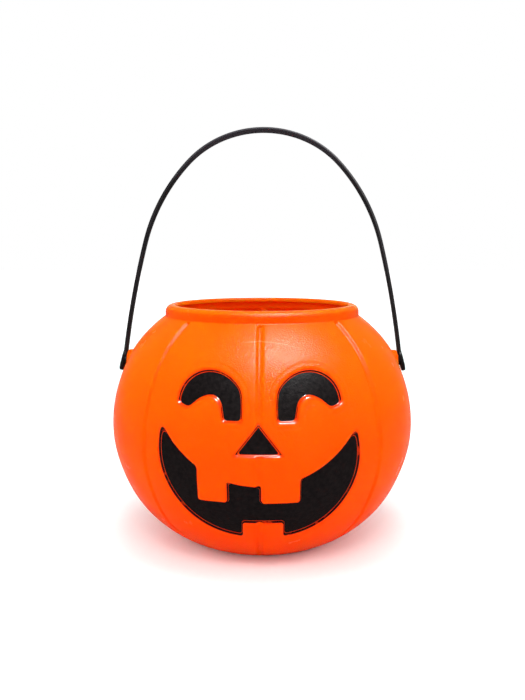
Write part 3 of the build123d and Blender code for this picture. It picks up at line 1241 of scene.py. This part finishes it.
def makeFloor():
    h = stage["floorHalf"]
    mesh = bpy.data.meshes.new("floor")
    mesh.from_pydata([(-h, -h, 0), (h, -h, 0), (h, h, 0), (-h, h, 0)], [], [(0, 1, 2, 3)])
    floor = addObject("floor", mesh)
    material, tree, shader = newMaterial("white_floor")
    path = addNode(tree, "LightPath")
    own = blend(tree, path.outputs["Is Glossy Ray"], stage["floorColour"], stage["floorGloss"])
    # paler far off, where the lamps no longer reach, so it runs into the white behind
    coords = addNode(tree, "TexCoord").outputs["Object"]
    away = addNode(tree, "VectorMath", {0: coords}, operation="LENGTH").outputs["Value"]
    seen = blend(tree, mapped(tree, away, *stage["floorFade"]), stage["floorSeen"], stage["floorFar"])
    feed(tree, shader, {
        "Base Color": blend(tree, path.outputs["Is Camera Ray"], own, seen),
        "Roughness": stage["floorRoughness"],
        "Specular IOR Level": stage["floorSpecular"],
    })
    mesh.materials.append(material)


def makeSky():
    # white behind for what is seen, a dimmer room to the sides and front in gloss, even light otherwise
    world = bpy.data.worlds.new("studio")
    bpy.context.scene.world = world
    world.use_nodes = True
    tree = world.node_tree
    path = addNode(tree, "LightPath")
    across, depth, height = addCoords(tree, "Generated")[1]
    room = addNode(tree, "ValToRGB", {"Fac": mapped(tree, depth, -1, 1)})
    steps = room.color_ramp.elements
    while len(steps) < len(stage["roomSteps"]):
        steps.new(1.0)
    for step, (place, bright) in zip(steps, stage["roomSteps"]):
        step.position = place
        step.color = bright, bright, bright, 1
    glossy = path.outputs["Is Glossy Ray"]
    seen = combined(tree, "MAXIMUM", path.outputs["Is Camera Ray"], path.outputs["Is Transmission Ray"])
    # the right side of the room is the brighter one
    gloss = product(tree, glossy, room.outputs["Color"], mapped(tree, across, *stage["rightGain"]))
    # the white backdrop sends back more light than the open front
    rest = combined(tree, "SUBTRACT", 1.0, combined(tree, "MAXIMUM", seen, glossy))
    plain = product(tree, rest, mapped(tree, height, 0, 1, *stage["skyLevels"]),
                       mapped(tree, depth, 0, 1, 1, stage["backdropGain"]))
    level = combined(tree, "ADD", seen, combined(tree, "ADD", gloss, plain))
    feed(tree, tree.nodes["Background"], {"Color": stage["skyColour"], "Strength": level})


# Lamps, five for the matt colour and two for the gloss: place, size, power and whether only for gloss
lampAim = Vector((0, 0, 0.1))
lamps = {
    "front": ((0.0, -0.95, 0.42), (0.70, 0.45), 2.4, False),
    "key": ((0.02, -0.74, 0.86), (0.50, 0.35), 4.0, False),
    "top": ((0.0, -0.12, 1.25), (0.45, 0.45), 4.0, False),
    "leftFill": ((-0.95, -0.30, 0.60), (0.45, 0.45), 2.6, False),
    "rightFill": ((0.95, -0.30, 0.60), (0.45, 0.45), 2.6, False),
    "softbox": ((0.20, -0.31, 0.92), (0.26, 0.15), 115.0, True),
    "wideBox": ((0.15, -0.36, 0.93), (0.60, 0.30), 36.0, True),
}


def makeLamps():
    for name, (place, size, power, glossOnly) in lamps.items():
        lamp = bpy.data.lights.new(name, "AREA")
        lamp.shape = "RECTANGLE"
        lamp.size, lamp.size_y = size
        lamp.energy = power
        made = addObject(name, lamp)
        made.location = place
        made.visible_diffuse = not glossOnly
        made.visible_glossy = glossOnly
        made.rotation_euler = (lampAim - made.location).to_track_quat("-Z", "Y").to_euler()


# Camera: as the photograph was taken, a little to the right of the pail's middle
view = {
    "distance": 540 * mm,
    "turn": radians(0.93),
    "height": 209.9 * mm,
    "dip": radians(7.892),
    "sensor": 36,
    "focalPixels": 746.6,
    "framePixels": (525, 700),
    "middlePixel": 262.1,
}


def makeCamera():
    data = bpy.data.cameras.new("camera")
    wide, tall = view["framePixels"]
    data.sensor_width = view["sensor"]
    data.lens = view["sensor"] * view["focalPixels"] / tall
    data.shift_x = (wide / 2 - view["middlePixel"]) / tall
    camera = addObject("camera", data)
    turn = view["turn"]
    camera.location = view["distance"] * sin(turn), -view["distance"] * cos(turn), view["height"]
    camera.rotation_euler = pi / 2 - view["dip"], 0, turn
    bpy.context.scene.camera = camera


makeFloor()
makeSky()
makeLamps()
makeCamera()
bpy.context.scene.view_settings.view_transform = "Standard"
print("stage ready")
